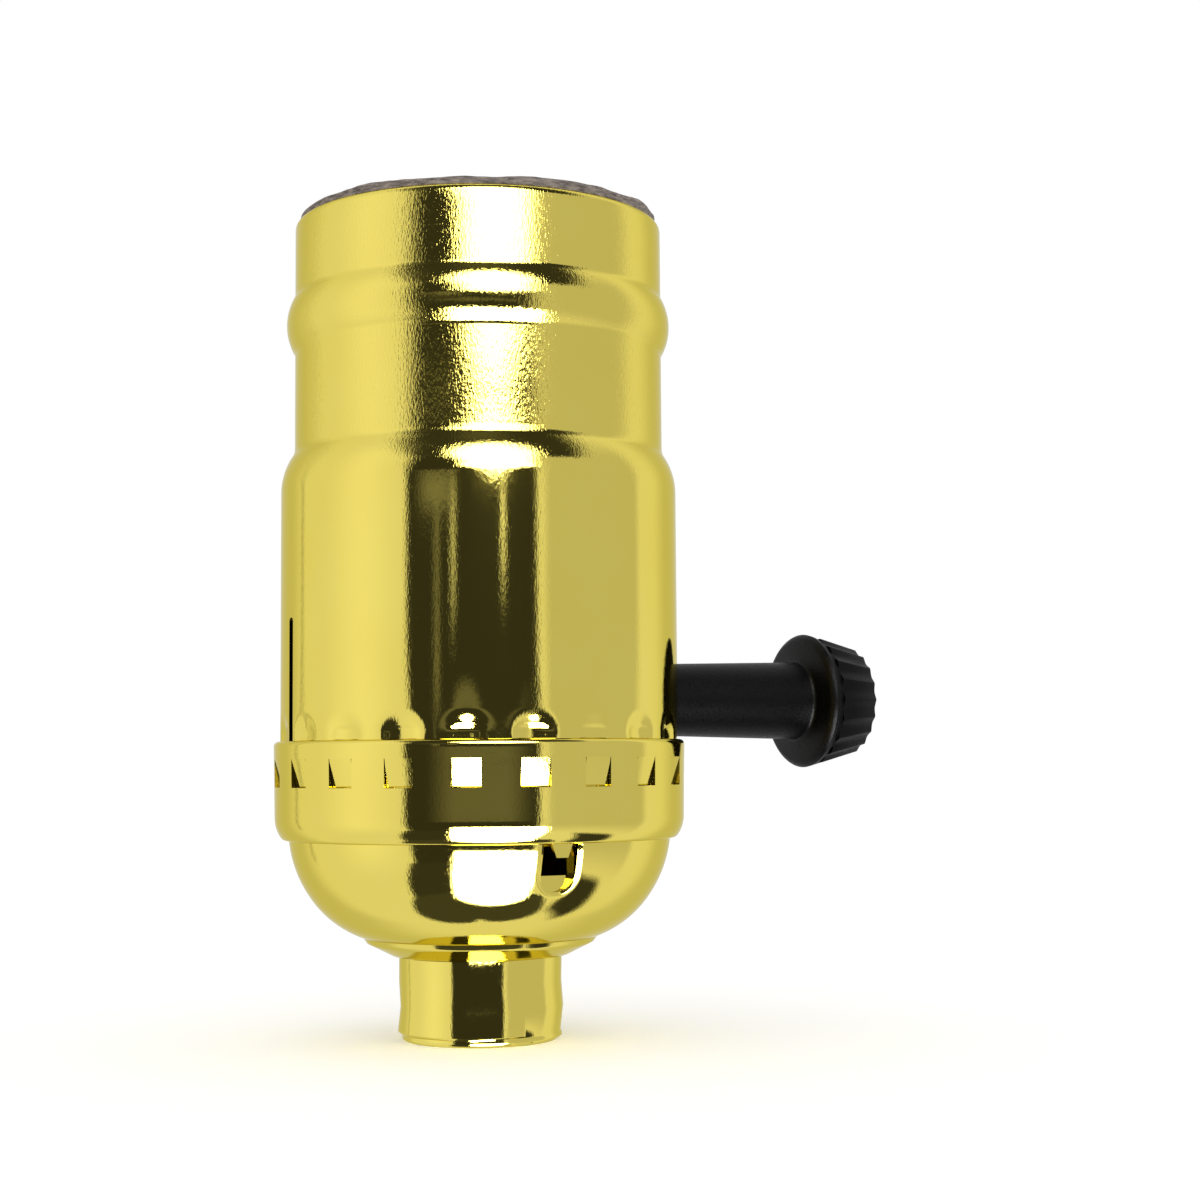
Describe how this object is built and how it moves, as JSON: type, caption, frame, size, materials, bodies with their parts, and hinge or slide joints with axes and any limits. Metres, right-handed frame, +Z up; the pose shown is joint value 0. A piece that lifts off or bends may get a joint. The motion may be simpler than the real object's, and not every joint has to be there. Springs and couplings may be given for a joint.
{
  "type": "lamp holder",
  "caption": "Brass-plated lamp holder with a medium screw socket, a push-fit cap with a threaded hub, and a turn-knob switch on a side stem.",
  "frame": {"origin": "centre of the hub's lower mouth, on the face that the holder stands on", "axes": "+Z up the socket's axis towards the lamp, +X along the knob's stem"},
  "size_m": [0.0596, 0.038, 0.0767],
  "materials": {
    "plated_brass": "polished brass plate on drawn sheet",
    "contact_brass": "plain stamped or turned brass",
    "aluminium": "bright rolled aluminium sheet",
    "nickel_plate": "nickel plated",
    "spring_steel": "bright steel",
    "fibre": "grey-brown rolled fibre",
    "moulding": "dark phenolic moulding",
    "rotor_plastic": "pale moulded plastic",
    "knob_plastic": "satin black moulded plastic with a fine grain"
  },
  "bodies": {
    "socket": {"assembly_rivets": "contact_brass", "cap": "plated_brass", "centre_contact": "contact_brass", "centre_rivet": "contact_brass", "detent_spring": "spring_steel", "hub": "plated_brass", "insulating_disc": "fibre", "insulating_sleeve": "fibre", "line_contact": "contact_brass", "line_screw": "contact_brass", "load_contact": "contact_brass", "neutral_screw": "nickel_plate", "neutral_strap": "nickel_plate", "screw_shell": "aluminium", "shaft_bush": "contact_brass", "shell": "plated_brass", "socket_base": "moulding", "switch_housing": "moulding"},
    "turning_switch": {"knob": "knob_plastic", "knob_insert": "contact_brass", "switch_shaft": "spring_steel", "rotor": "rotor_plastic", "bridge_contact": "contact_brass"}
  },
  "joints": [
    {"name": "knob_turn", "type": "hinge", "parent": "socket", "child": "turning_switch", "pos_m": [0.02, 0, 0.0313], "axis": [1, 0, 0], "continuous": true, "deforming": ["detent_spring", "line_contact", "load_contact"]}
  ]
}
